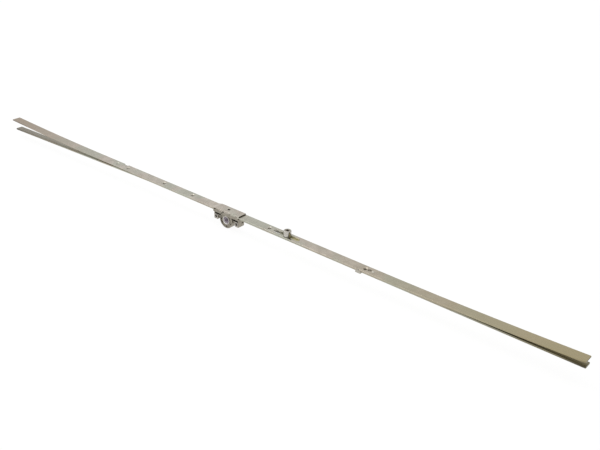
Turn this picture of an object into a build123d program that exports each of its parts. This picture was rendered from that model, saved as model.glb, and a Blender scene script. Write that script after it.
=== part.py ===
from build123d import *
import os
from math import asin, atan, cos, pi, radians, sin, sqrt

# Window espagnolette: a strip gear for the edge of a window sash, in millimetres.
# X runs along the gear, Y across it, and +Z is the outward side of the faceplate.
# The origin is the spindle axis in the middle of the gearbox.

# Faceplate, in two lengths that lap over the gearbox
backset = 14.0
strip_width = 16.0
plate_thickness = 1.8
left_reach = 562.0
right_reach = 571.5
lap_left_end = 28.0
lap_right_start = -21.0
joggle_length = 7.5
joggle_lead = 0.5
left_curl_length = 250.0
left_curl_rise = 4.2
right_curl_lead = 5.3
right_curl_rise = 5.8
strip_corner = 1.2

# Drive rod under the faceplate
running_gap = 0.3
rod_thickness = 2.4
rod_width = 12.5
rod_left_reach = 556.0
rod_right_reach = 572.0
rod_free_start = 150.0
rod_bend_length = 60.0
rod_left_droop = 10.2

# Pinion and the rack windows that it drives
stroke = 17.0
quarter_turn = pi / 2
tooth_count = 12
pinion_tip = 11.35
pinion_root = 8.8
pinion_width = 6.0
tooth_root_half = 1.45
tooth_tip_half = 0.85
boss_radius = 5.6
boss_recess = 2.0
window_length = 3.6
window_side_gap = 0.3
spindle_square = 7.0
spindle_clearance = 0.1

# Gearbox housing, two die-cast halves
housing_depth = 12.0
housing_half_length = 26.0
hub_radius = 13.0
hub_stand_out = 0.8
pinion_side_gap = 0.15
pinion_tip_gap = 0.2
channel_floor = 1.4
slot_height = 3.7
slot_round = 0.75
arm_thickness = 1.3
end_wall = 1.8
lug_drop = 4.7
lug_inner_reach = 3.7
lug_corner = 1.5
hub_ring_outer = 11.3
hub_ring_inner = 7.4
hub_ring_depth = 0.7
core_hole_radius = 0.95
core_hole_circle = 10.15
core_hole_angles = [41.0, 183.0, 212.0, 273.0, 336.0]
core_hole_depth = 1.1
end_pocket_width = 4.0
end_pocket_height = 3.5
end_pocket_depth = 1.0
end_pocket_low = 0.95
end_pocket_lead = 0.5
peg_length = 2.0
peg_depth = 1.1
peg_first = -18.5
peg_pitch = 13.5
peg_count = 4
peg_side_gap = 0.4

# Follower bushes, handle screw bushes and the rivets of the lap
follower_bush_wall = 1.0
handle_screw_spacing = 43.0
handle_screw_hole = 2.55
handle_bush_wall = 0.35
handle_bush_lip = 0.5
handle_bush_lip_thickness = 0.4
lap_rivet_places = [-13.0, 17.0]
lap_rivet_radius = 1.5
lap_rivet_head = 2.4
lap_rivet_head_depth = 0.7
sight_hole_radius = 2.1

# Face screws, their guide bushes and the washers below the rod
plain_screw_places = [-263.0, -236.0, 257.0]
guide_places = {"outer": -146.5, "inner": -80.0, "right": 82.5}
screw_hole = 2.1
screw_head = 3.75
screw_head_depth = 1.1
guide_shank = 2.8
guide_head = 4.1
guide_head_depth = 0.8
guide_neck = 2.45
washer_radius = 4.6
washer_thickness = 1.0
guide_lip = 0.5
guide_lip_thickness = 0.35
slot_side_gap = 0.3
slot_end_gap = 0.6

# Guide rivet, long hole, rod clip and edge notch of the faceplate
rivet_place = 270.2
rivet_shank = 1.6
rivet_foot = 1.2
rivet_dome = 2.4
rivet_dome_height = 0.9
long_hole_place = 264.4
long_hole_length = 6.0
long_hole_radius = 2.1
clip_place = 250.0
clip_length = 8.5
clip_thickness = 1.5
clip_round = 0.5
notch_place = -248.0
notch_length = 9.5
notch_depth = 2.4
notch_round = 1.0

# Locking cam on the rod
cam_place = 118.3
cam_slot_half_width = 3.4
cam_slot_lead = 2.0
cam_slot_end_gap = 3.6
cam_journal = 2.5
cam_collar = 3.1
cam_shaft = 2.85
cam_head = 4.0
cam_eccentricity = 0.8
cam_radius = 5.9
cam_lift = 0.3
cam_height = 8.8
cam_head_thickness = 1.1
cam_round = 0.9
cam_hex = 4.0
cam_hex_depth = 4.5
cam_washer_radius = 4.9
cam_washer_thickness = 0.95
cam_foot = 3.4
cam_foot_thickness = 0.6

# Clearances
bearing_gap = 0.05
seat_gap = 0.03

# Levels and radii that follow from the sizes above
plate_top = backset
plate_under = plate_top - plate_thickness
rod_top = plate_under - running_gap
rod_under = rod_top - rod_thickness
channel_bottom = rod_under - running_gap
slot_top = channel_bottom - channel_floor
slot_bottom = slot_top - slot_height
arm_bottom = slot_bottom - arm_thickness
washer_top = rod_under - running_gap
washer_under = washer_top - washer_thickness
pitch_radius = stroke / quarter_turn
rack_pitch = 2 * pi * pitch_radius / tooth_count
channel_half = rod_width / 2 + running_gap
half_strip = strip_width / 2
half_depth = housing_depth / 2
hub_half = half_depth + hub_stand_out
pocket_half = pinion_width / 2 + pinion_side_gap
follower_bush_outer = boss_radius + bearing_gap + follower_bush_wall
handle_bush_outer = handle_screw_hole + handle_bush_wall
lug_place = handle_screw_spacing / 2
peg_places = [peg_first + i * peg_pitch for i in range(peg_count)]
right_curl_length = right_reach - rivet_place - right_curl_lead
through = 100.0


def box(x, y, z):
    """Box between pairs of limits."""
    size = [high - low for low, high in (x, y, z)]
    middle = [(high + low) / 2 for low, high in (x, y, z)]
    return Pos(*middle) * Box(*size)


def post(x, y, low, high, radius):
    """Upright cylinder between two levels."""
    return Pos(x, y, (low + high) / 2) * Cylinder(radius, high - low)


def cone(x, y, low, high, low_radius, high_radius):
    """Upright cone between two levels."""
    return Pos(x, y, (low + high) / 2) * Cone(low_radius, high_radius, high - low)


def shaft(x, z, low, high, radius):
    """Cylinder along Y between two depths."""
    return Pos(x, (low + high) / 2, z) * Rot(90, 0, 0) * Cylinder(radius, high - low)


def upright_slot(x, low, high, length, radius):
    """Round-ended slot along X, length over its ends."""
    outline = SlotOverall(length, 2 * radius)
    return Pos(x, 0, low) * extrude(outline, high - low)


def across(outline, depth):
    """Outline in X and Z, made a solid centred on the XZ plane."""
    return extrude(Plane.XZ * outline, depth / 2, both=True)


def bend_run(x, z, side, lift, radius, angle, run):
    """Arc that leaves a level strip at x, z, then a straight run of the given length."""
    middle = (x + side * radius * sin(angle / 2), z + lift * radius * (1 - cos(angle / 2)))
    end = (x + side * radius * sin(angle), z + lift * radius * (1 - cos(angle)))
    edges = [ThreePointArc((x, z), middle, end)]
    if run > 0:
        tip = (end[0] + side * run * cos(angle), end[1] + lift * run * sin(angle))
        edges.append(Line(end, tip))
        end = tip
    return edges, end


def bent_strip(under, top, left_bend, right_bend, width):
    """Strip with level middle lines and an optional bend at each end."""
    thickness = top[0][1] - under[0][1]
    edges = []
    corners = []
    for line, is_top in ((under, False), (top, True)):
        edges.append(Polyline(*line))
        ends = []
        for (x, z), side, bend in ((line[0], -1, left_bend), (line[-1], 1, right_bend)):
            if bend is None:
                ends.append((x, z))
                continue
            lift, inner_radius, angle, run = bend
            is_outer = is_top if lift < 0 else not is_top
            radius = inner_radius + (thickness if is_outer else 0)
            new_edges, tip = bend_run(x, z, side, lift, radius, angle, run)
            edges += new_edges
            ends.append(tip)
        corners.append(ends)
    edges.append(Line(corners[0][0], corners[1][0]))
    edges.append(Line(corners[0][1], corners[1][1]))
    return across(make_face(edges), width)


def curl(length, rise):
    """Upward bend that climbs the given rise over the given length."""
    radius = (length ** 2 + rise ** 2) / (2 * rise)
    return 1, radius, asin(length / radius), 0


def droop(length, bend_length, fall):
    """Downward bend followed by a straight run that ends the given fall below."""
    angle = atan(fall / (length - bend_length / 2))
    return -1, bend_length / sin(angle), angle, (length - bend_length) / cos(angle)


def round_corners(solid, x_side, z_side=0):
    """Softens the two upright corners at one end of a strip."""
    edges = solid.edges().filter_by(lambda edge: edge.length < 2 * (plate_thickness + rod_thickness))
    edges = edges.sort_by(Axis.X)
    picked = edges[-2:] if x_side > 0 else edges[:2]
    picked = [edge for edge in picked if abs(edge.center().Y) > 1]
    return fillet(picked, strip_corner)


def edge_notches(places, side_gap, depth_gap):
    """Cutters for the edge notches that the staked pegs stand in, on both edges."""
    cutters = []
    for place in places:
        for side in (-1, 1):
            inner = side * (half_strip - peg_depth - depth_gap)
            outer = side * (half_strip + 1)
            x = (place - peg_length / 2 - side_gap, place + peg_length / 2 + side_gap)
            cutters.append(box(x, sorted((inner, outer)), (plate_under - 1, plate_top)))
    return cutters


def edge_peg(place, side):
    """Peg that stands on a cheek and fills an edge notch up to the plate's face."""
    x = (place - peg_length / 2, place + peg_length / 2)
    y = sorted((side * (half_strip - peg_depth), side * half_strip))
    return box(x, y, (plate_under, plate_top))


def countersink(place):
    """Screw hole with its countersink, through one faceplate."""
    hole = post(place, 0, plate_under - 1, plate_top + 1, screw_hole)
    mouth = screw_head - screw_hole
    sink = cone(place, 0, plate_top - screw_head_depth, plate_top, screw_hole, screw_head)
    rim = post(place, 0, plate_top, plate_top + mouth, screw_head)
    return hole + sink + rim


def bush_seat(place):
    """Seat of a guide bush in the faceplate."""
    hole = post(place, 0, plate_under - 1, plate_top, guide_shank + seat_gap)
    sink = cone(
        place, 0, plate_top - guide_head_depth, plate_top, guide_shank + seat_gap, guide_head + seat_gap
    )
    rim = post(place, 0, plate_top, plate_top + 1, guide_head + seat_gap)
    return hole + sink + rim


def lap_rivet_hole(place, low, high):
    """Hole for a lap rivet through one or both plates."""
    return post(place, 0, low, high, lap_rivet_radius + seat_gap)


def lap_top():
    return plate_top + plate_thickness


def make_faceplate_left():
    joggle_end = lap_right_start - joggle_lead
    joggle_start = joggle_end - joggle_length
    curl_start = -(left_reach - left_curl_length)
    line = [
        (curl_start, plate_under),
        (joggle_start, plate_under),
        (joggle_end, plate_top),
        (lap_left_end, plate_top),
    ]
    top = [(x, z + plate_thickness) for x, z in line]
    lift, radius, angle, run = curl(left_curl_length, left_curl_rise)
    inner = radius - plate_thickness
    solid = bent_strip(line, top, (lift, inner, angle, run), None, strip_width)
    solid = round_corners(solid, -1)
    for place in plain_screw_places:
        if place < 0:
            solid -= countersink(place)
    for place in guide_places.values():
        if place < 0:
            solid -= bush_seat(place)
    notch_x = (notch_place - notch_length / 2, notch_place + notch_length / 2)
    notch = box(notch_x, (half_strip - notch_depth, half_strip + 2), (plate_under - 1, plate_top + 1))
    inner_edges = notch.edges().filter_by(Axis.Z).sort_by(Axis.Y)[:2]
    solid -= fillet(inner_edges, notch_round)
    solid -= post(0, 0, plate_top - 1, lap_top() + 1, sight_hole_radius)
    for place in lap_rivet_places:
        solid -= lap_rivet_hole(place, plate_top - 1, lap_top() + 1)
        solid -= cone(
            place, 0, lap_top() - lap_rivet_head_depth, lap_top(),
            lap_rivet_radius + seat_gap, lap_rivet_head + seat_gap,
        )
    return solid


def make_faceplate_right():
    curl_start = right_reach - right_curl_length
    line = [(lap_right_start, plate_under), (curl_start, plate_under)]
    top = [(x, z + plate_thickness) for x, z in line]
    lift, radius, angle, run = curl(right_curl_length, right_curl_rise)
    inner = radius - plate_thickness
    solid = bent_strip(line, top, None, (lift, inner, angle, run), strip_width)
    solid = round_corners(solid, 1)
    for cutter in edge_notches(peg_places + [clip_place], peg_side_gap, seat_gap):
        solid -= cutter
    for place in plain_screw_places:
        if place > 0:
            solid -= countersink(place)
    for place in guide_places.values():
        if place > 0:
            solid -= bush_seat(place)
    cam_slot_length = 2 * (stroke + cam_collar + cam_slot_end_gap)
    solid -= upright_slot(
        cam_place - cam_slot_lead, plate_under - 1, plate_top + 1, cam_slot_length, cam_slot_half_width
    )
    solid -= upright_slot(
        long_hole_place, plate_under - 1, plate_top + 1, long_hole_length, long_hole_radius
    )
    solid -= post(rivet_place, 0, plate_under - 1, plate_top + 1, rivet_shank + seat_gap)
    solid -= post(0, 0, plate_under - 1, plate_top + 1, sight_hole_radius)
    for place in lap_rivet_places:
        solid -= lap_rivet_hole(place, plate_under - 1, plate_top + 1)
        solid -= cone(
            place, 0, plate_under, plate_under + lap_rivet_head_depth,
            lap_rivet_head + seat_gap, lap_rivet_radius + seat_gap,
        )
    return solid


def make_lap_rivets():
    rivets = []
    for place in lap_rivet_places:
        rivet = post(place, 0, plate_under, lap_top(), lap_rivet_radius)
        rivet += cone(
            place, 0, lap_top() - lap_rivet_head_depth, lap_top(), lap_rivet_radius, lap_rivet_head
        )
        rivet += cone(
            place, 0, plate_under, plate_under + lap_rivet_head_depth, lap_rivet_head, lap_rivet_radius
        )
        rivets.append(rivet)
    return Compound(rivets)


def rod_slot(first, last, radius):
    """Slot in the rod that clears a part of the given radius over the whole stroke."""
    length = last - first + 2 * (stroke + radius + slot_side_gap + slot_end_gap)
    fall = rod_left_droop + rod_thickness
    return upright_slot((first + last) / 2, rod_under - fall, rod_top + 1, length, radius + slot_side_gap)


def make_drive_rod():
    free_length = rod_left_reach - rod_free_start
    line = [(-rod_free_start, rod_under), (rod_right_reach, rod_under)]
    top = [(x, z + rod_thickness) for x, z in line]
    bend = droop(free_length, rod_bend_length, rod_left_droop)
    solid = bent_strip(line, top, bend, None, rod_width)
    solid = round_corners(solid, -1)
    solid = round_corners(solid, 1)
    reach = stroke + sqrt(pinion_tip ** 2 - rod_under ** 2)
    side_windows = int(reach / rack_pitch) + 1
    window_half = pinion_width / 2 + window_side_gap
    for i in range(-side_windows, side_windows + 1):
        x = (i * rack_pitch - window_length / 2, i * rack_pitch + window_length / 2)
        solid -= box(x, (-window_half, window_half), (rod_under - 1, rod_top + 1))
    left_plain = [place for place in plain_screw_places if place < 0]
    right_group = [place for place in plain_screw_places if place > 0] + [rivet_place]
    solid -= rod_slot(min(left_plain), max(left_plain), screw_hole)
    solid -= rod_slot(min(right_group), max(right_group), max(rivet_shank, long_hole_radius, screw_hole))
    for place in guide_places.values():
        solid -= rod_slot(place, place, guide_shank)
    solid -= post(cam_place, 0, rod_under - 1, rod_top + 1, cam_journal + bearing_gap)
    return solid


def make_guide_bush(place):
    bush = post(place, 0, washer_top, plate_top, guide_shank)
    bush += cone(place, 0, plate_top - guide_head_depth, plate_top, guide_shank, guide_head)
    lip_top = washer_under
    lip_low = lip_top - guide_lip_thickness
    bush += post(place, 0, lip_low, washer_top, guide_neck)
    bush += post(place, 0, lip_low, lip_top, guide_neck + guide_lip)
    bush -= post(place, 0, lip_low - 1, plate_top + 1, screw_hole)
    bush -= cone(place, 0, plate_top - screw_head_depth, plate_top, screw_hole, screw_head)
    return bush


def make_guide_washer(place, neck):
    washer = post(place, 0, washer_under, washer_top, washer_radius)
    return washer - post(place, 0, washer_under - 1, washer_top + 1, neck + seat_gap)


def make_guide_rivet():
    rivet = post(rivet_place, 0, washer_top, plate_top, rivet_shank)
    dome_radius = (rivet_dome ** 2 + rivet_dome_height ** 2) / (2 * rivet_dome_height)
    ball = Pos(rivet_place, 0, plate_top + rivet_dome_height - dome_radius)
    ball *= Rot(90, 0, 0) * Sphere(dome_radius)
    half = rivet_dome + 1
    keep = box(
        (rivet_place - half, rivet_place + half), (-half, half), (plate_top, plate_top + rivet_dome_height + 1)
    )
    rivet += ball & keep
    lip_low = washer_under - guide_lip_thickness
    rivet += post(rivet_place, 0, lip_low, washer_top, rivet_foot)
    rivet += post(rivet_place, 0, lip_low, washer_under, rivet_foot + guide_lip)
    return rivet


def make_rod_clip():
    """Saddle that carries the rod, staked into two edge notches."""
    x = (clip_place - clip_length / 2, clip_place + clip_length / 2)
    low = channel_bottom - clip_thickness
    clip = box(x, (-half_strip, half_strip), (low, plate_under))
    clip -= box((x[0] - 1, x[1] + 1), (-channel_half, channel_half), (channel_bottom, plate_under + 1))
    lower_edges = clip.edges().filter_by(Axis.X).sort_by(Axis.Z)[:2]
    clip = fillet(lower_edges, clip_round)
    for side in (-1, 1):
        clip += edge_peg(clip_place, side)
    return clip


def housing_outline():
    """Side view of the housing below the rod channel, without its hub."""
    half = housing_half_length
    height = channel_bottom + lug_drop
    plate = Pos(0, channel_bottom - height / 2) * Rectangle(2 * half, height)
    lug_inner = lug_place - lug_inner_reach
    gap_height = arm_bottom + lug_drop + 1
    gap = Pos(0, arm_bottom - gap_height / 2) * Rectangle(2 * lug_inner, gap_height)
    plate -= gap
    slot_length = 2 * (half - end_wall)
    slot = Pos(0, (slot_top + slot_bottom) / 2) * Rectangle(slot_length, slot_height)
    outline = plate - fillet(slot.vertices(), slot_round)
    low_corners = [
        vertex for vertex in outline.vertices()
        if abs(vertex.Y + lug_drop) < 0.01 and abs(vertex.X) > lug_inner - 0.01
    ]
    return fillet(low_corners, lug_corner)


def make_hub():
    """Disc of the hub, up to the block that carries the faceplate."""
    outline = Circle(hub_radius) - Pos(0, slot_top + hub_radius) * Rectangle(2 * hub_radius, 2 * hub_radius)
    return across(outline, 2 * hub_half)


def make_housing(side):
    """One half: side is -1 for the near one and +1 for the far one."""
    half = housing_half_length
    body = across(housing_outline(), housing_depth) + make_hub()
    body += box((-half, half), (-half_strip, half_strip), (slot_top, plate_under))
    body -= box(
        (-half - 1, half + 1), (-channel_half, channel_half), (channel_bottom, plate_under + 1)
    )
    body -= shaft(0, 0, -pocket_half, pocket_half, pinion_tip + pinion_tip_gap)
    body -= shaft(0, 0, -through, through, follower_bush_outer + seat_gap)
    for place in (-lug_place, lug_place):
        body -= shaft(place, 0, -through, through, handle_bush_outer + seat_gap)
    ring_floor = hub_half - hub_ring_depth
    for face in (-1, 1):
        span = sorted((face * ring_floor, face * (hub_half + 1)))
        ring = shaft(0, 0, *span, hub_ring_outer) - shaft(0, 0, *span, hub_ring_inner)
        body -= ring & box((-half, half), (-through, through), (-through, slot_top))
        depth_span = sorted((face * (ring_floor - core_hole_depth), face * (hub_half + 1)))
        for angle in core_hole_angles:
            x = core_hole_circle * cos(radians(angle))
            z = core_hole_circle * sin(radians(angle))
            body -= shaft(x, z, *depth_span, core_hole_radius)
    pocket_y = (end_pocket_lead, end_pocket_lead + end_pocket_width)
    pocket_z = (end_pocket_low, end_pocket_low + end_pocket_height)
    for end in (-1, 1):
        pocket_x = sorted((end * (half - end_pocket_depth), end * (half + 1)))
        body -= box(pocket_x, pocket_y, pocket_z)
    body &= box((-half, half), sorted((0, side * half_strip)), (-through, through))
    for place in peg_places:
        body += edge_peg(place, side)
    return body


def make_follower_bush(side):
    bush = shaft(0, 0, pocket_half, hub_half, follower_bush_outer)
    bush -= shaft(0, 0, 0, through, boss_radius + bearing_gap)
    return bush if side > 0 else mirror(bush, Plane.XZ)


def make_handle_bush(place):
    lip_end = half_depth + handle_bush_lip_thickness
    bush = shaft(place, 0, -lip_end, lip_end, handle_bush_outer)
    for side in (-1, 1):
        bush += shaft(place, 0, *sorted((side * half_depth, side * lip_end)), handle_bush_outer + handle_bush_lip)
    return bush - shaft(place, 0, -through, through, handle_screw_hole)


def make_follower_pinion():
    outline = Circle(pinion_root)
    tooth = Polygon(
        (-tooth_root_half, pinion_root - 1),
        (tooth_root_half, pinion_root - 1),
        (tooth_root_half, pinion_root),
        (tooth_tip_half, pinion_tip + 1),
        (-tooth_tip_half, pinion_tip + 1),
        (-tooth_root_half, pinion_root),
        align=None,
    )
    for i in range(tooth_count):
        outline += Rot(0, 0, i * 360 / tooth_count) * tooth
    outline &= Circle(pinion_tip)
    pinion = across(outline, pinion_width)
    boss_half = hub_half - boss_recess
    pinion += shaft(0, 0, -boss_half, boss_half, boss_radius)
    side = spindle_square + spindle_clearance
    pinion -= across(Rectangle(side, side), 4 * hub_half)
    return pinion


def make_cam_washer():
    top = rod_under - bearing_gap
    washer = post(cam_place, 0, top - cam_washer_thickness, top, cam_washer_radius)
    return washer - post(cam_place, 0, top - 2, top + 1, cam_journal + bearing_gap)


def make_cam_stem():
    """Eccentric stem: a journal in the rod, a collar in the slot and a shaft for the roller."""
    washer_low = rod_under - bearing_gap - cam_washer_thickness - bearing_gap
    foot_low = washer_low - cam_foot_thickness
    collar_low = rod_top + bearing_gap
    collar_top = plate_top + cam_lift
    top = collar_top + cam_height
    stem = post(cam_place, 0, foot_low, collar_low, cam_journal)
    stem += post(cam_place, 0, foot_low, washer_low, cam_foot)
    stem += post(cam_place, 0, collar_low, collar_top, cam_collar)
    stem += post(cam_place, -cam_eccentricity, collar_top, top, cam_shaft)
    stem += post(cam_place, -cam_eccentricity, top - cam_head_thickness, top, cam_head)
    hexagon = RegularPolygon(cam_hex / 2, 6, major_radius=False)
    stem -= Pos(cam_place, -cam_eccentricity, top - cam_hex_depth) * extrude(hexagon, cam_hex_depth + 1)
    return stem


def make_cam_roller():
    low = plate_top + cam_lift + bearing_gap
    top = plate_top + cam_lift + cam_height
    seat = top - cam_head_thickness - bearing_gap
    roller = post(cam_place, -cam_eccentricity, low, top, cam_radius)
    roller = fillet(roller.edges().sort_by(Axis.Z)[-1], min(cam_round, 0.9 * (cam_radius - cam_head)))
    roller -= post(cam_place, -cam_eccentricity, low - 1, top + 1, cam_shaft + bearing_gap)
    roller -= post(cam_place, -cam_eccentricity, seat, top + 1, cam_head + bearing_gap)
    return roller


def make_parts():
    parts = {
        "faceplate_left": make_faceplate_left(),
        "faceplate_right": make_faceplate_right(),
        "lap_rivets": make_lap_rivets(),
        "housing_near": make_housing(-1),
        "housing_far": make_housing(1),
        "follower_bush_near": make_follower_bush(-1),
        "follower_bush_far": make_follower_bush(1),
        "handle_screw_bush_left": make_handle_bush(-lug_place),
        "handle_screw_bush_right": make_handle_bush(lug_place),
        "guide_rivet": make_guide_rivet(),
        "guide_rivet_washer": make_guide_washer(rivet_place, rivet_foot),
        "rod_clip": make_rod_clip(),
        "drive_rod": make_drive_rod(),
        "follower_pinion": make_follower_pinion(),
        "cam_washer": make_cam_washer(),
        "cam_stem": make_cam_stem(),
        "cam_roller": make_cam_roller(),
    }
    for name, place in guide_places.items():
        parts[f"guide_bush_{name}"] = make_guide_bush(place)
        parts[f"guide_washer_{name}"] = make_guide_washer(place, guide_neck)
    return parts


os.makedirs("parts", exist_ok=True)
for name, shape in make_parts().items():
    export_step(shape, f"parts/{name}.step")
print(f"pitch radius {pitch_radius:.3f} mm, rack pitch {rack_pitch:.3f} mm, stroke {stroke} mm a quarter turn")
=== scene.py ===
import bmesh
import bpy
import math
from mathutils import Matrix, Vector


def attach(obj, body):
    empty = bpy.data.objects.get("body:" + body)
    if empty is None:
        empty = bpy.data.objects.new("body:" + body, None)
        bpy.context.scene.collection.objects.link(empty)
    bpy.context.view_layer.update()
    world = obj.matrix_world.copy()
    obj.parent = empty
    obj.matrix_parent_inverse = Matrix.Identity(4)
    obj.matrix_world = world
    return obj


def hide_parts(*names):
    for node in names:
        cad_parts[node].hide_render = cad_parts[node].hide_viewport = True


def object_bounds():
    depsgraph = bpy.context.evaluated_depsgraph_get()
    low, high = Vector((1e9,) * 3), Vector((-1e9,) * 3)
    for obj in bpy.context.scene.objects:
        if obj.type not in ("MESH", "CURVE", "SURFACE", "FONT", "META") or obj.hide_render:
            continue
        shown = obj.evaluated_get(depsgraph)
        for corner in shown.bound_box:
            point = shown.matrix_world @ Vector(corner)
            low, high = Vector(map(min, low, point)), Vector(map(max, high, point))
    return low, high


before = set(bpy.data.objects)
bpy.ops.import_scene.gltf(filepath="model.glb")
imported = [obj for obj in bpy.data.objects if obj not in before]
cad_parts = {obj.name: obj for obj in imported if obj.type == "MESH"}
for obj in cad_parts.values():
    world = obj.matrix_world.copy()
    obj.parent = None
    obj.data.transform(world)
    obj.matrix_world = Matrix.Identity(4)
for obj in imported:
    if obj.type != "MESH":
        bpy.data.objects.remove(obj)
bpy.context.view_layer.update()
print("frame loaded")

# Every piece is modelled in millimetres and brought to metres when it is finished.
mm = 0.001
overcut = 1.0  # how far a cutter reaches past the piece
spareRoom = 0.35  # between a rounded rim and the slice beside it
close = 0.01  # places nearer than this count as the same


# modelling helpers

def pick(piece):
    bpy.ops.object.select_all(action="DESELECT")
    piece.select_set(True)
    bpy.context.view_layer.objects.active = piece


def applyPlace(piece):
    pick(piece)
    bpy.ops.object.transform_apply(location=True, rotation=True, scale=True)
    return piece


def block(x, y, z):
    middle = [(low + high) / 2 for low, high in (x, y, z)]
    bpy.ops.mesh.primitive_cube_add(size=1, location=middle)
    piece = bpy.context.active_object
    piece.scale = [high - low for low, high in (x, y, z)]
    return applyPlace(piece)


def cone(place, low, high, lowRadius, highRadius, axis="Z", sides=64):
    # place holds the two coordinates across the axis
    middle = (low + high) / 2
    if axis == "Z":
        location, turn = (place[0], place[1], middle), (0, 0, 0)
    else:
        location, turn = (place[0], middle, place[1]), (-math.pi / 2, 0, 0)
    bpy.ops.mesh.primitive_cone_add(
        vertices=sides, radius1=lowRadius, radius2=highRadius, depth=high - low,
        location=location, rotation=turn)
    return applyPlace(bpy.context.active_object)


def post(place, low, high, radius, axis="Z", sides=64):
    return cone(place, low, high, radius, radius, axis, sides)


def combine(piece, others, operation):
    for other in others:
        pick(piece)
        change = piece.modifiers.new("change", "BOOLEAN")
        change.operation = operation
        change.solver = "EXACT"
        change.object = other
        bpy.ops.object.modifier_apply(modifier=change.name)
        bpy.data.objects.remove(other)
    return piece


def cut(piece, *tools):
    return combine(piece, tools, "DIFFERENCE")


def add(piece, *others):
    return combine(piece, others, "UNION")


def longHole(x, low, high, length, radius):
    # round-ended cutter along X
    half = length / 2 - radius
    tool = block((x - half, x + half), (-radius, radius), (low, high))
    return add(tool, post((x - half, 0), low, high, radius), post((x + half, 0), low, high, radius))


def selectEdges(piece, test):
    pick(piece)
    bpy.ops.object.mode_set(mode="EDIT")
    bpy.ops.mesh.select_mode(type="EDGE")
    bpy.ops.mesh.select_all(action="DESELECT")
    bpy.ops.object.mode_set(mode="OBJECT")
    points = piece.data.vertices
    for edge in piece.data.edges:
        a, b = (points[i].co for i in edge.vertices)
        edge.select = test(a, b)
    bpy.ops.object.mode_set(mode="EDIT")


def upright(a, b):
    # an edge between a and b that runs through the thickness of a strip
    return abs(a.z - b.z) > 1


def roundPicked(piece, radius, segments, test):
    selectEdges(piece, test)
    bpy.ops.mesh.bevel(offset=radius, segments=segments, affect="EDGES")
    bpy.ops.object.mode_set(mode="OBJECT")
    return piece


def evenFaces(piece):
    # splits the many-sided faces that cuts leave, so that bends and bevels come out clean
    pick(piece)
    bpy.ops.object.mode_set(mode="EDIT")
    bpy.ops.mesh.select_all(action="SELECT")
    bpy.ops.mesh.remove_doubles(threshold=0.002)
    bpy.ops.mesh.quads_convert_to_tris(quad_method="BEAUTY", ngon_method="BEAUTY")
    bpy.ops.mesh.tris_convert_to_quads(face_threshold=math.radians(1), shape_threshold=math.pi)
    bpy.ops.object.mode_set(mode="OBJECT")
    return piece


def slices(piece, places, way=(1, 0, 0)):
    pick(piece)
    bpy.ops.object.mode_set(mode="EDIT")
    for place in places:
        bpy.ops.mesh.select_all(action="SELECT")
        bpy.ops.mesh.bisect(plane_co=[place * part for part in way], plane_no=way)
    bpy.ops.object.mode_set(mode="OBJECT")


def giveRoom(piece, features, side, edge):
    # slices a blank beside its coming holes, so that no long thin face meets a rim that is rounded later
    room = edge + spareRoom
    places = [x + way * (reach + room) for x, reach in features for way in (-1, 1)]
    slices(piece, [place for place in places if all(abs(place - x) > reach + edge for x, reach in features)])
    slices(piece, (-side, side), (0, 1, 0))


def liftAlong(piece, lift):
    for point in piece.data.vertices:
        point.co.z += lift(point.co.x)


def softenEdges(piece, width, segments=2, angle=32):
    # rounds the outer corners and leaves the inner ones
    shape = bmesh.new()
    shape.from_mesh(piece.data)
    corners = [edge.is_convex and edge.calc_face_angle(0) > math.radians(angle) for edge in shape.edges]
    shape.free()
    weights = piece.data.attributes.new("bevel_weight_edge", "FLOAT", "EDGE")
    weights.data.foreach_set("value", corners)
    pick(piece)
    edges = piece.modifiers.new("edges", "BEVEL")
    edges.width = width
    edges.segments = segments
    edges.limit_method = "WEIGHT"
    edges.use_clamp_overlap = False
    edges.loop_slide = False
    bpy.ops.object.modifier_apply(modifier=edges.name)
    piece.data.attributes.remove(piece.data.attributes["bevel_weight_edge"])
    return piece


def copyOf(node):
    # a CAD solid as one clean mesh, in millimetres
    piece = bpy.data.objects.new(node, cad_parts[node].data.copy())
    bpy.context.scene.collection.objects.link(piece)
    piece.scale = (1 / mm, 1 / mm, 1 / mm)
    applyPlace(piece)
    if piece.data.has_custom_normals:
        bpy.ops.mesh.customdata_custom_splitnormals_clear()
    return evenFaces(piece)


def finishPiece(piece, name, body, material, replaced, smooth=50):
    piece.name = name
    piece.data.name = name
    piece.scale = (mm, mm, mm)
    applyPlace(piece)
    bpy.ops.object.shade_smooth_by_angle(angle=math.radians(smooth))
    even = piece.modifiers.new("even", "WEIGHTED_NORMAL")
    even.keep_sharp = True
    bpy.ops.object.modifier_apply(modifier=even.name)
    piece.data.materials.clear()
    piece.data.materials.append(material)
    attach(piece, body)
    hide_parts(*replaced)
    return piece


# shader helpers

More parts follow.
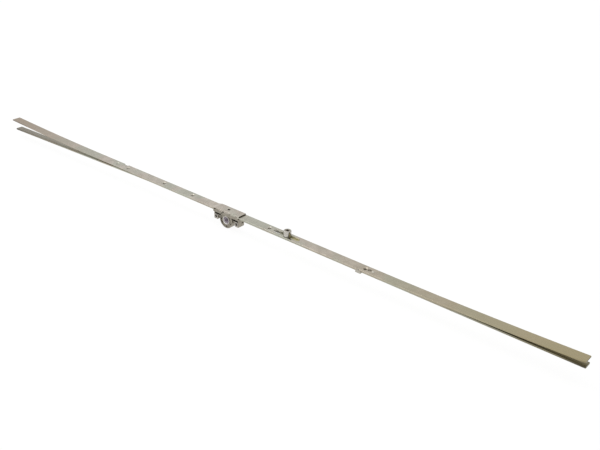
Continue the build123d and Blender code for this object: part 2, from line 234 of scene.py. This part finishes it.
class Wire:
    # wraps one socket, so that shader maths is written as Python maths
    def __init__(self, tree, socket=None):
        self.tree = tree
        self.socket = socket

    def node(self, kind, settings=None, inputs=None, output=0):
        made = self.tree.nodes.new("ShaderNode" + kind)
        for name, value in (settings or {}).items():
            setattr(made, name, value)
        for name, value in (inputs or {}).items():
            if isinstance(value, Wire):
                self.tree.links.new(value.socket, made.inputs[name])
            else:
                made.inputs[name].default_value = value
        return Wire(self.tree, made.outputs[output])

    def maths(self, operation, *values):
        return self.node("Math", {"operation": operation}, dict(enumerate(values)))

    def __add__(self, other):
        return self.maths("ADD", self, other)

    def __radd__(self, other):
        return self.maths("ADD", other, self)

    def __sub__(self, other):
        return self.maths("SUBTRACT", self, other)

    def __rsub__(self, other):
        return self.maths("SUBTRACT", other, self)

    def __mul__(self, other):
        return self.maths("MULTIPLY", self, other)

    def __rmul__(self, other):
        return self.maths("MULTIPLY", other, self)

    def __abs__(self):
        return self.maths("ABSOLUTE", self)

    def band(self, low, high):
        # 0 below low, 1 above high, smooth between
        return self.node("MapRange", {"interpolation_type": "SMOOTHSTEP"}, {
            "Value": self, "From Min": low, "From Max": high})

    def between(self, low, high, soft):
        return self.band(low - soft, low + soft) * (1 - self.band(high - soft, high + soft))


def mix(factor, a, b):
    return factor.node("Mix", {"data_type": "RGBA"}, {0: factor, 6: a, 7: b}, output=2)


def colour(red, green, blue):
    # an sRGB colour, 0 to 255, as the shader's linear one
    def linear(level):
        part = level / 255
        return part / 12.92 if part <= 0.04045 else ((part + 0.055) / 1.055) ** 2.4
    return (linear(red), linear(green), linear(blue), 1)


def newMaterial(name):
    material = bpy.data.materials.new(name)
    material.use_nodes = True
    material.node_tree.nodes.clear()
    return material, Wire(material.node_tree)


def connect(wire, shader):
    end = wire.tree.nodes.new("ShaderNodeOutputMaterial")
    wire.tree.links.new(shader.socket, end.inputs["Surface"])


def noise(wire, place, scale, stretch=(1, 1, 1), detail=3.0, roughness=0.5):
    turned = wire.node("Mapping", None, {"Vector": place, "Scale": stretch})
    return wire.node("TexNoise", None, {
        "Vector": turned, "Scale": scale, "Detail": detail, "Roughness": roughness})


def axes(place):
    return [place.node("SeparateXYZ", None, {0: place}, output=i) for i in range(3)]


def distance(a, b):
    return a.maths("SQRT", a * a + b * b)


# marks: each tells where a surface is dull or stained, or where shade or light is painted on it, 0 to 1, with
# its places in metres

fade = 0.0001  # over which the edge of a mark fades


def largest(masks):
    found = masks[0]
    for mask in masks[1:]:
        found = found.maths("MAXIMUM", found, mask)
    return found


def holeAndEndShade(place, look):
    # painted shade: the faces inside the round holes and the sheared ends made dark and dull
    x, y, z = axes(place)
    masks = [x.maths("COMPARE", x, end, fade) * look["shearedTone"] for end in look["sheared"]]
    for middle, radius, tone in look["holes"]:
        masks.append((1 - distance(x - middle, y).band(radius, radius + fade)) * tone)
    return largest(masks)


def tipShade(place, look):
    # painted shade on the near side face at both tips of a strip
    x, y, z = axes(place)
    tips = largest([1 - x.band(*look["leftTip"]), x.band(*look["rightTip"])])
    return (1 - y.band(look["nearEdge"], look["nearEdge"] + 2 * fade)) * tips * look["tipTone"]


def camWallLight(place, look):
    # painted light: the walls of the cam's slot, past the cam, made pale yellow and matt
    x, y, z = axes(place)
    span = x.band(*look["camWallStart"]) * (1 - x.band(*look["camWallEnd"]))
    wall = span * (1 - abs(y).band(*look["camWallSide"])) * (1 - z.band(*look["camWallTop"]))
    return wall * look["camTone"]


def behindFace(y, face, depth):
    # 1 where the surface lies deeper than a face across Y
    return 1 - abs(y).band(face - depth, face - fade)


def castSlotShadeAndSpots(place, look):
    # painted shade in the housing's slots and along their edges, and dark round spots painted in its ring
    # recess
    x, y, z = axes(place)
    slot = abs(x).between(*look["slotSpan"], fade) * z.between(*look["slotLevels"], fade)
    edgeShade = abs(x).between(*look["slotSpan"], 3 * fade) * z.between(*look["grimeLevels"], 2 * fade)
    edgeShade = edgeShade * (1 - abs(y).band(look["armFace"] + fade, look["armFace"] + 2 * fade))
    sunk = (1 - z.band(*look["recessTop"])) * behindFace(y, look["hubFace"], 4 * fade)
    # painted shade inside the slots and along their edges
    masks = [slot * behindFace(y, look["armFace"], 4 * fade) * look["slotTone"], edgeShade * look["grimeTone"]]
    for angle in look["markAngles"]:
        turn = math.radians(angle)
        away = distance(x - look["markCircle"] * math.cos(turn), z - look["markCircle"] * math.sin(turn))
        masks.append((1 - away.band(*look["markRadii"])) * sunk * look["markTone"])
    return largest(masks)


def castRimShade(place, look):
    # painted shade in the ring recess and on the lower left rim of the hub
    x, y, z = axes(place)
    ring = distance(x, z).between(*look["ringRadii"], fade) * look["ringTone"]
    ring = ring * (1 - z.band(*look["recessTop"])) * behindFace(y, look["hubFace"], 4 * fade)
    rim = distance(x, z).between(*look["rimRadii"], fade) * (1 - x.band(*look["rimSpan"])) * look["rimTone"]
    return largest([ring, rim * abs(y).band(look["armFace"] - 3 * fade, look["armFace"])])


def squareWallLight(place, look):
    # painted light: the walls of the spindle hole made pale and matt, so that the hole reads lit inside
    x, y, z = axes(place)
    away = x.maths("MAXIMUM", abs(x), abs(z))
    return (1 - away.band(look["squareHalf"], look["squareHalf"] + fade)) * look["squareTone"]


def boreHighlight(place, look):
    # painted highlight: the bore of the follower's bush made near white and matt
    x, y, z = axes(place)
    return (1 - distance(x, z).band(*look["boreRadii"])) * look["boreTone"]


def bushHighlight(place, look):
    # painted highlight: the lower left of the follower's bush made near white
    x, y, z = axes(place)
    return (1 - z.band(*look["rubbedLevels"])) * (1 - x.band(*look["rubbedSpan"])) * look["rubbedTone"]


def rodStainAndLight(place, look):
    # yellow passivation stain with painted light: paler and matt where the cam's slot shows the rod
    x, y, z = axes(place)
    span = x.between(*look["stainSpan"], look["stainFade"])
    return span * (1 - abs(y).band(*look["stainSide"])) * look["stainTone"]


def punchedWalls(place, look):
    # the walls of the rod's long slots
    y = axes(place)[1]
    return y.maths("COMPARE", abs(y), look["slotWall"], look["slotWallReach"]) * look["wallTone"]


def platedMetal(name, look):
    # zinc plating: cloudy tone, tinted patches, painted shade that darkens and warms the ends, rolling marks,
    # specks and the marks above
    material, wire = newMaterial(name)
    place = wire.node("TexCoord", output=3)
    clouds = noise(wire, place, look["cloudScale"], detail=4.0, roughness=0.6)
    grain = noise(wire, place, look["grainScale"], look["grainStretch"], detail=2.0)
    specks = noise(wire, place, look["speckScale"], detail=1.0)
    base = mix(clouds.band(*look["cloudBand"]), look["dark"], look["light"])
    if "patchColour" in look:
        patches = noise(wire, place, look["patchScale"], detail=2.0)
        base = mix(patches.band(*look["patchBand"]) * look["patchTone"], base, look["patchColour"])
    if "farEnd" in look:
        x = axes(place)[0]
        # painted shade: darker and warmer towards the far end and the near end
        base = mix(x.band(*look["farEndSpan"]), base, look["farEnd"])
        base = mix(1 - x.band(*look["nearEndSpan"]), base, look["nearEnd"])
    base = mix(grain.band(*look["grainBand"]) * look["grainTone"], base, look["grainColour"])
    base = mix(specks.band(*look["speckBand"]) * look["speckTone"], base, look["speckColour"])
    shine = look["metallic"]
    for where, markColour, dullness in look["marks"]:
        mask = where(place, look)
        base = mix(mask, base, markColour)
        shine = shine * (1 - mask * dullness)
    rough = look["roughness"] + (clouds - 0.5) * look["roughVary"] + (grain - 0.5) * look["roughVary"]
    bump = wire.node("Bump", None, {
        "Strength": look["bump"], "Distance": look["bumpDepth"],
        "Height": grain * look["grainShare"] + specks * (1 - look["grainShare"])})
    shader = wire.node("BsdfPrincipled", None, {
        "Base Color": base, "Metallic": shine, "Roughness": rough, "Normal": bump})
    connect(wire, shader)
    return material


zincLook = {
    "cloudScale": 70, "cloudBand": (0.35, 0.65),
    "grainScale": 1, "grainStretch": (18, 2600, 2600), "grainBand": (0.3, 0.7),
    "grainTone": 0.22, "grainColour": colour(140, 134, 120),
    "speckScale": 900, "speckBand": (0.68, 0.78), "speckTone": 0.35, "speckColour": colour(120, 113, 98),
    "roughness": 0.28, "roughVary": 0.1, "metallic": 1.0,
    "bump": 0.12, "bumpDepth": 0.0001, "grainShare": 0.7,  # of the bump, the rest is specks
    "marks": (),  # each with its colour, and how much of the metal's shine it takes
}
stripLook = dict(
    zincLook, dark=colour(186, 177, 166), light=colour(202, 193, 182),
    patchColour=colour(176, 182, 168), patchScale=28, patchBand=(0.4, 0.62), patchTone=0.6,
    # painted shade towards both ends
    farEnd=colour(160, 148, 112), farEndSpan=(0.05, 0.66),
    nearEnd=colour(164, 147, 129), nearEndSpan=(-0.60, -0.24),
    marks=(
        # painted shade in the holes, on the cut ends and at the tips
        (holeAndEndShade, colour(48, 44, 38), 0.3), (tipShade, colour(86, 78, 66), 0.3),
        # painted light on the walls of the cam's slot
        (camWallLight, colour(236, 230, 188), 0.9)),
    sheared=(-0.562, 0.028, 0.5715), shearedTone=0.7,
    # middle along X, radius, tone of the painted shade
    holes=(
        (0.0, 0.00215, 0.9), (-0.263, 0.00215, 0.4), (-0.236, 0.00215, 0.4),
        (0.257, 0.00215, 0.5), (0.2644, 0.003, 0.4)),
    leftTip=(-0.54, -0.50), rightTip=(0.56, 0.58), nearEdge=-0.0079, tipTone=0.7,
    camWallStart=(0.121, 0.123), camWallEnd=(0.1405, 0.1408), camWallSide=(0.0034, 0.0037),
    camWallTop=(0.0137, 0.0139), camTone=1.0)
rodLook = dict(
    stripLook, dark=colour(160, 153, 134), light=colour(176, 169, 150), grainTone=0.3,
    # painted shade towards both ends
    farEnd=colour(122, 116, 92), farEndSpan=(0.30, 0.56), nearEnd=colour(130, 122, 108),
    marks=(
        # yellow stain with painted light in the cam's slot
        (punchedWalls, colour(120, 117, 105), 0.9), (rodStainAndLight, colour(200, 192, 148), 0.85),
        # painted shade on the near side at the tips
        (tipShade, colour(62, 56, 47), 0.3)),
    slotWall=0.0031, slotWallReach=0.00012, wallTone=0.95,
    stainSpan=(0.120, 0.139), stainFade=0.002, stainSide=(0.0045, 0.0055), stainTone=0.85,
    leftTip=(-0.56, -0.50), rightTip=(0.53, 0.57), nearEdge=-0.0061)
rivetLook = dict(
    zincLook, dark=colour(170, 165, 153), light=colour(198, 194, 184), cloudScale=500,
    grainScale=500, grainStretch=(1, 1, 1))
castLook = dict(
    rivetLook, dark=colour(148, 142, 130), light=colour(168, 162, 149), cloudScale=160, grainScale=1500,
    grainTone=0.3, roughness=0.42, bump=0.35,
    # painted shade in the hub's ring recess and rim, and in the slots
    marks=((castRimShade, colour(40, 36, 32), 0.0), (castSlotShadeAndSpots, colour(30, 27, 24), 0.7)),
    # painted shade in and along the slots
    armFace=0.006, slotSpan=(0.0122, 0.0243), slotLevels=(0.00405, 0.00785), slotTone=0.95,
    grimeLevels=(0.0037, 0.0083), grimeTone=0.65,
    hubFace=0.0068, recessTop=(0.0076, 0.0078), ringRadii=(0.0072, 0.0114), ringTone=0.2,
    rimRadii=(0.0122, 0.0134), rimSpan=(0.0, 0.006), rimTone=0.75,
    markCircle=0.01015, markAngles=(41, 183, 212, 273, 336), markRadii=(0.0009, 0.0011), markTone=0.95)
bushLook = dict(
    rivetLook, dark=colour(190, 186, 181), light=colour(214, 211, 206),
    # painted highlights on the bush's lower left and in its bore
    marks=((bushHighlight, colour(252, 252, 250), 0.0), (boreHighlight, colour(252, 248, 250), 0.9)),
    # painted highlight on the lower left of the bush
    rubbedLevels=(-0.005, -0.0015), rubbedSpan=(0.0, 0.003), rubbedTone=0.9,
    boreRadii=(0.0057, 0.00578), boreTone=0.9)
followerLook = dict(
    rivetLook, dark=colour(152, 144, 152), light=colour(176, 168, 176), grainScale=2200, roughness=0.3,
    # painted light inside the spindle hole
    bump=0.3, marks=((squareWallLight, colour(188, 180, 188), 0.9),), squareHalf=0.0036, squareTone=0.9)
rollerLook = dict(
    rivetLook, dark=colour(182, 178, 170), light=colour(205, 202, 196), grainScale=1,
    grainStretch=(300, 300, 9000), roughness=0.22)
stemLook = dict(rivetLook, dark=colour(128, 122, 110), light=colour(150, 144, 132), roughness=0.35)

stripMetal = platedMetal("stripMetal", stripLook)
rodMetal = platedMetal("rodMetal", rodLook)
rivetMetal = platedMetal("rivetMetal", rivetLook)
castMetal = platedMetal("castMetal", castLook)
bushMetal = platedMetal("bushMetal", bushLook)
followerMetal = platedMetal("followerMetal", followerLook)
rollerMetal = platedMetal("rollerMetal", rollerLook)
stemMetal = platedMetal("stemMetal", stemLook)
print("materials made")


# faceplate, in two lengths

plate = {
    "half": 8.0, "under": 12.2, "top": 14.0, "corner": 1.2, "cornerSteps": 6, "edge": 0.28, "sliceRoom": 0.6,
    "screwHole": 2.1, "screwHead": 3.75, "screwSink": 1.1,
    "guideShank": 2.83, "guideHead": 4.13, "guideSink": 0.8,
    "lapRivets": (-13.0, 17.0), "lapShank": 1.53, "lapHead": 2.43, "lapSink": 0.7, "sightHole": 2.1,
}
leftPlate = {
    "ends": (-562.0, 28.0), "screws": (-263.0, -236.0), "guides": (-146.5, -80.0),
    "curl": 250.0, "rise": 4.2, "curlSlices": 20,
    "step": (-29.0, -21.5), "stepBend": 1.5, "stepSlices": 12,
    "notch": -248.0, "notchLength": 9.5, "notchDepth": 2.4, "notchCorner": 1.0, "notchSteps": 4,
}
rightPlate = {
    "ends": (-21.0, 571.5), "screws": (257.0,), "guides": (82.5,),
    "curl": 296.0, "rise": 5.8, "curlSlices": 16,
    "camSlot": 116.3, "camSlotLength": 47.4, "camSlotRadius": 3.4,
    "longHole": 264.4, "longHoleLength": 6.0, "rivetPlace": 270.2, "rivetShank": 1.63,
    "pegs": (-18.5, -5.0, 8.5, 22.0, 250.0), "pegLength": 2.8, "pegDepth": 1.13,
}


def curlLift(start, side, length, rise):
    # height that the strip climbs past the place where its bend starts
    radius = (length ** 2 + rise ** 2) / (2 * rise)

    def lift(x):
        past = max(0.0, side * (x - start))
        return radius - math.sqrt(radius ** 2 - past ** 2)
    return lift


def sunkHole(x, shank, head, depth, fromTop=True, sides=48):
    # cutters for a round hole with a cone-shaped mouth
    low, high = plate["under"], plate["top"]
    over = 0.5
    wide = head + over * (head - shank) / depth
    ends = (high - depth, high + over) if fromTop else (low - over, low + depth)
    radii = (shank, wide) if fromTop else (wide, shank)
    return [
        post((x, 0), low - overcut, high + overcut, shank, sides=sides),
        cone((x, 0), *ends, *radii, sides=sides),
    ]


def lapSeat(x, fromTop):
    # flush seat of a lap rivet, left unrounded so that it closes on the rivet
    return sunkHole(x, plate["lapShank"], plate["lapHead"], plate["lapSink"], fromTop, 64)


def screwFeatures(own):
    return [(x, plate["screwHead"]) for x in own["screws"]] + [(x, plate["guideHead"]) for x in own["guides"]]


def drillScrews(piece, own):
    for x in own["screws"]:
        cut(piece, *sunkHole(x, plate["screwHole"], plate["screwHead"], plate["screwSink"]))
    for x in own["guides"]:
        cut(piece, *sunkHole(x, plate["guideShank"], plate["guideHead"], plate["guideSink"]))


def stripBlank(ends, roundedEnd):
    blank = block(ends, (-plate["half"], plate["half"]), (plate["under"], plate["top"]))
    return roundPicked(
        blank, plate["corner"], plate["cornerSteps"],
        lambda a, b: max(abs(a.x - roundedEnd), abs(b.x - roundedEnd), abs(a.y - b.y)) < close)


def makeLeftPlate():
    start, end = leftPlate["ends"]
    piece = stripBlank((start, end), start)
    low, high = plate["under"] - overcut, plate["top"] + overcut
    half = leftPlate["notchLength"] / 2
    notchFloor = plate["half"] - leftPlate["notchDepth"]
    features = screwFeatures(leftPlate) + [(leftPlate["notch"], half), (0.0, plate["sightHole"])]
    giveRoom(piece, features, notchFloor - plate["sliceRoom"], plate["edge"])
    drillScrews(piece, leftPlate)
    span = (leftPlate["notch"] - half, leftPlate["notch"] + half)
    notch = block(span, (notchFloor, plate["half"] + overcut), (low, high))
    roundPicked(
        notch, leftPlate["notchCorner"], leftPlate["notchSteps"],
        lambda a, b: upright(a, b) and a.y < plate["half"])
    cut(piece, notch, post((0, 0), low, high, plate["sightHole"], sides=48))
    evenFaces(piece)
    stepStart, stepEnd = leftPlate["step"]
    bend = leftPlate["stepBend"]
    span = stepEnd - stepStart
    count = leftPlate["stepSlices"]
    slices(piece, [stepStart - bend + i * (span + 2 * bend) / count for i in range(count + 1)])
    count = leftPlate["curlSlices"]
    slices(piece, [start + i * leftPlate["curl"] / count for i in range(1, count + 1)])
    softenEdges(piece, plate["edge"])
    for x in plate["lapRivets"]:
        cut(piece, *lapSeat(x, True))
    lift = curlLift(start + leftPlate["curl"], -1, leftPlate["curl"], leftPlate["rise"])
    thickness = plate["top"] - plate["under"]

    def shape(x):
        # the step is a straight ramp with an eased bend at each end
        part = (x - stepStart) / span
        ease = bend / span
        if part < -ease:
            ramp = 0
        elif part < ease:
            ramp = (part + ease) ** 2 / (4 * ease)
        elif part < 1 - ease:
            ramp = part
        elif part < 1 + ease:
            ramp = 1 - (1 + ease - part) ** 2 / (4 * ease)
        else:
            ramp = 1
        return lift(x) + thickness * ramp
    liftAlong(piece, shape)
    return finishPiece(piece, "leftFaceplate", "case", stripMetal, ["faceplate_left"])


def makeRightPlate():
    start, end = rightPlate["ends"]
    piece = stripBlank((start, end), end)
    low, high = plate["under"] - overcut, plate["top"] + overcut
    half = rightPlate["pegLength"] / 2
    inner = plate["half"] - rightPlate["pegDepth"]
    features = screwFeatures(rightPlate)
    features += [(x, plate["lapHead"]) for x in plate["lapRivets"]] + [(x, half) for x in rightPlate["pegs"]]
    features += [
        (rightPlate["camSlot"], rightPlate["camSlotLength"] / 2), (0.0, plate["sightHole"]),
        (rightPlate["longHole"], rightPlate["longHoleLength"] / 2),
        (rightPlate["rivetPlace"], rightPlate["rivetShank"]),
    ]
    giveRoom(piece, features, inner - plate["sliceRoom"], plate["edge"])
    drillScrews(piece, rightPlate)
    length, radius = rightPlate["camSlotLength"], rightPlate["camSlotRadius"]
    cut(piece, longHole(rightPlate["camSlot"], low, high, length, radius))
    cut(piece, longHole(rightPlate["longHole"], low, high, rightPlate["longHoleLength"], plate["screwHole"]))
    cut(piece, post((rightPlate["rivetPlace"], 0), low, high, rightPlate["rivetShank"], sides=32))
    cut(piece, post((0, 0), low, high, plate["sightHole"], sides=48))
    for x in rightPlate["pegs"]:
        for side in (-1, 1):
            depths = sorted((side * inner, side * (plate["half"] + overcut)))
            cut(piece, block((x - half, x + half), depths, (low, high)))
    for x in plate["lapRivets"]:
        cut(piece, *lapSeat(x, False))
    evenFaces(piece)
    count = rightPlate["curlSlices"]
    slices(piece, [end - i * rightPlate["curl"] / count for i in range(1, count + 1)])
    softenEdges(piece, plate["edge"])
    liftAlong(piece, curlLift(end - rightPlate["curl"], 1, rightPlate["curl"], rightPlate["rise"]))
    return finishPiece(piece, "rightFaceplate", "case", stripMetal, ["faceplate_right"])


makeLeftPlate()
makeRightPlate()
print("faceplate made")


# drive rod

rod = {
    "ends": (-556.0, 572.0), "half": 6.25, "under": 9.5, "top": 11.9,
    "corner": 1.2, "cornerSteps": 5, "edge": 0.3,
    "windowPitch": 17 / 3, "windowHalf": 1.8, "windowSide": 3.3, "windowCount": 4, "sliceSide": 4.4,
    "travel": 17.9, "sideGap": 0.3, "screwSlot": 2.1, "guideSlot": 2.8,
    "freeStart": -150.0, "bend": 60.0, "bendSlices": 10, "droop": 10.2,
    "camHole": 118.3, "camHoleRadius": 2.55,
}


def rodSlot(first, last, radius):
    # clears what stands at first and last over the rod's whole travel
    length = last - first + 2 * (rod["travel"] + radius)
    low, high = rod["under"] - overcut, rod["top"] + overcut
    return longHole((first + last) / 2, low, high, length, radius + rod["sideGap"])


def makeRod():
    start, end = rod["ends"]
    piece = block((start, end), (-rod["half"], rod["half"]), (rod["under"], rod["top"]))
    roundPicked(piece, rod["corner"], rod["cornerSteps"], upright)
    low, high = rod["under"] - overcut, rod["top"] + overcut
    windows = [i * rod["windowPitch"] for i in range(-rod["windowCount"], rod["windowCount"] + 1)]
    guides = leftPlate["guides"] + rightPlate["guides"]
    features = [(x, rod["windowHalf"]) for x in windows]
    features += [(x, rod["travel"] + 2 * rod["guideSlot"]) for x in guides]
    features += [(rod["camHole"], rod["camHoleRadius"])]
    giveRoom(piece, features, rod["sliceSide"], rod["edge"])
    half, side = rod["windowHalf"], rod["windowSide"]
    for x in windows:
        cut(piece, block((x - half, x + half), (-side, side), (low, high)))
    cut(piece, rodSlot(*leftPlate["screws"], rod["screwSlot"]))
    cut(piece, rodSlot(*rightPlate["screws"], rightPlate["rivetPlace"], rod["screwSlot"]))
    for x in guides:
        cut(piece, rodSlot(x, x, rod["guideSlot"]))
    cut(piece, post((rod["camHole"], 0), low, high, rod["camHoleRadius"], sides=48))
    evenFaces(piece)
    count = rod["bendSlices"]
    slices(piece, [rod["freeStart"] - i * rod["bend"] / count for i in range(count + 1)])
    softenEdges(piece, rod["edge"])
    free = rod["freeStart"] - start
    slope = math.atan(rod["droop"] / (free - rod["bend"] / 2))
    radius = rod["bend"] / math.sin(slope)

    def shape(x):
        past = rod["freeStart"] - x
        if past <= 0:
            return 0
        bent = min(past, rod["bend"])
        return math.sqrt(radius ** 2 - bent ** 2) - radius - (past - bent) * math.tan(slope)
    liftAlong(piece, shape)
    return finishPiece(piece, "driveRod", "rod", rodMetal, ["drive_rod"])


makeRod()
print("rod made")


# pieces that keep the CAD shape, with their edges rounded as the real ones are

dressed = {
    # CAD node: piece, rounding, body, slot, material
    "housing_near": ("nearHousing", 0.15, "case", "die_cast", castMetal),
    "housing_far": ("farHousing", 0.15, "case", "die_cast", castMetal),
    "follower_bush_near": ("nearFollowerBush", 0.15, "case", "bush_steel", bushMetal),
    "follower_bush_far": ("farFollowerBush", 0.15, "case", "bush_steel", bushMetal),
    "handle_screw_bush_left": ("leftScrewBush", 0.15, "case", "bush_steel", bushMetal),
    "handle_screw_bush_right": ("rightScrewBush", 0.15, "case", "bush_steel", bushMetal),
    "guide_bush_outer": ("outerGuideBush", 0.1, "case", "rivet_steel", rivetMetal),
    "guide_bush_inner": ("innerGuideBush", 0.1, "case", "rivet_steel", rivetMetal),
    "guide_bush_right": ("rightGuideBush", 0.1, "case", "rivet_steel", rivetMetal),
    "guide_washer_outer": ("outerGuideWasher", 0.15, "case", "rivet_steel", rivetMetal),
    "guide_washer_inner": ("innerGuideWasher", 0.15, "case", "rivet_steel", rivetMetal),
    "guide_washer_right": ("rightGuideWasher", 0.15, "case", "rivet_steel", rivetMetal),
    "guide_rivet": ("domeRivet", 0.05, "case", "rivet_steel", rivetMetal),
    "guide_rivet_washer": ("domeRivetWasher", 0.15, "case", "rivet_steel", rivetMetal),
    "rod_clip": ("rodClip", 0.2, "case", "clip_steel", rivetMetal),
    "lap_rivets": ("lapRivets", 0.0, "case", "rivet_steel", stripMetal),
    "cam_washer": ("camWasher", 0.15, "rod", "rod_steel", rodMetal),
    "follower_pinion": ("follower", 0.12, "follower", "follower_steel", followerMetal),
    "cam_stem": ("camStem", 0.12, "cam_stem", "stem_steel", stemMetal),
    "cam_roller": ("camRoller", 0.15, "cam_roller", "roller_steel", rollerMetal),
}
for node, (name, width, body, slot, material) in dressed.items():
    piece = copyOf(node)
    if width:
        softenEdges(piece, width)
    finishPiece(piece, name, body, material, [node])
print("gearbox, guides and cam made")


# floor, light and camera

studio = {
    "floorSize": 8.0, "floorGap": 0.0002, "floorGlow": 0.92, "floorShade": 0.12, "floorPale": 0.8,
    "worldFill": 0.8, "cardDistance": 2.2,
    # the cards stand there for the metal to mirror, and the camera doesn't see them;
    # azimuth is counted from +X towards +Y, and glow 1 is white
    "cards": {
        "backCard": {"azimuth": 140, "elevation": 26, "size": (2.6, 1.3), "glow": (0.86, 0.86, 0.86)},
        "sideCard": {"azimuth": 52, "elevation": 24, "size": (1.6, 1.3), "glow": (0.22, 0.19, 0.12)},
        "frontCard": {"azimuth": 2, "elevation": 26, "size": (2.0, 1.2), "glow": (0.08, 0.07, 0.06)},
    },
    "topLamp": {"azimuth": 170, "elevation": 62, "distance": 2.0, "size": 1.0, "power": 8.0},
}


def seenWhite(wire):
    # 1 for the rays that see the background: camera, reflections and glass
    rays = ("Is Camera Ray", "Is Glossy Ray", "Is Transmission Ray")
    camera, glossy, glass = (wire.node("LightPath", output=ray) for ray in rays)
    return wire.maths("MINIMUM", camera + glossy + glass, 1.0)


def makeFloor():
    low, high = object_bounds()
    bpy.ops.mesh.primitive_plane_add(size=studio["floorSize"], location=(0, 0, low.z - studio["floorGap"]))
    floor = bpy.context.active_object
    floor.name = "floor"
    material, wire = newMaterial("floorWhite")
    pale = wire.node("BsdfDiffuse", None, {"Color": (studio["floorPale"],) * 3 + (1,)})
    shadow = wire.node("BsdfDiffuse", None, {"Color": (studio["floorShade"],) * 3 + (1,)})
    glow = wire.node("Emission", None, {"Color": (1, 1, 1, 1), "Strength": studio["floorGlow"]})
    seen = wire.node("AddShader", None, {0: shadow, 1: glow})
    connect(wire, wire.node("MixShader", None, {0: seenWhite(wire), 1: pale, 2: seen}))
    floor.data.materials.append(material)


def aim(piece, azimuth, elevation, away):
    # places a card or lamp on a sphere round the object, facing its middle
    turn = Matrix.Rotation(math.radians(azimuth + 90), 4, "Z")
    tilt = Matrix.Rotation(math.radians(90 - elevation), 4, "X")
    pose = turn @ tilt
    piece.rotation_euler = pose.to_euler()
    piece.location = pose @ Vector((0, 0, away))


def makeCards():
    for name, setup in studio["cards"].items():
        bpy.ops.mesh.primitive_plane_add(size=1)
        card = bpy.context.active_object
        card.name = name
        card.scale = (*setup["size"], 1)
        material, wire = newMaterial(name)
        connect(wire, wire.node("Emission", None, {"Color": (*setup["glow"], 1), "Strength": 1.0}))
        card.data.materials.append(material)
        card.visible_camera = False
        aim(card, setup["azimuth"], setup["elevation"], studio["cardDistance"])


def makeLamp():
    setup = studio["topLamp"]
    bpy.ops.object.light_add(type="AREA")
    lamp = bpy.context.active_object
    lamp.name = "topLamp"
    lamp.data.size = setup["size"]
    lamp.data.energy = setup["power"]
    aim(lamp, setup["azimuth"], setup["elevation"], setup["distance"])


def makeWorld():
    world = bpy.data.worlds.new("studio")
    world.use_nodes = True
    world.node_tree.nodes.clear()
    wire = Wire(world.node_tree)
    white = seenWhite(wire)
    strength = white + (1 - white) * studio["worldFill"]
    background = wire.node("Background", None, {"Color": (1, 1, 1, 1), "Strength": strength})
    end = world.node_tree.nodes.new("ShaderNodeOutputWorld")
    world.node_tree.links.new(background.socket, end.inputs["Surface"])
    bpy.context.scene.world = world


# place in metres, angles in degrees
view = {"place": (0.7999, -0.8149, 0.588), "turn": 38.98, "tilt": 27.63, "roll": 1.76, "lens": 49.96}


def makeCamera():
    bpy.ops.object.camera_add()
    camera = bpy.context.active_object
    camera.data.lens = view["lens"]
    camera.data.sensor_width = 36
    turn = Matrix.Rotation(math.radians(view["turn"]), 4, "Z")
    tilt = Matrix.Rotation(math.radians(90 - view["tilt"]), 4, "X")
    roll = Matrix.Rotation(math.radians(view["roll"]), 4, "Z")
    camera.rotation_euler = (turn @ tilt @ roll).to_euler()
    camera.location = view["place"]
    camera.data.clip_start = 0.01
    camera.data.clip_end = 50
    bpy.context.scene.camera = camera


makeFloor()
makeCards()
makeLamp()
makeWorld()
makeCamera()
bpy.context.scene.view_settings.view_transform = "Standard"
print("studio made")
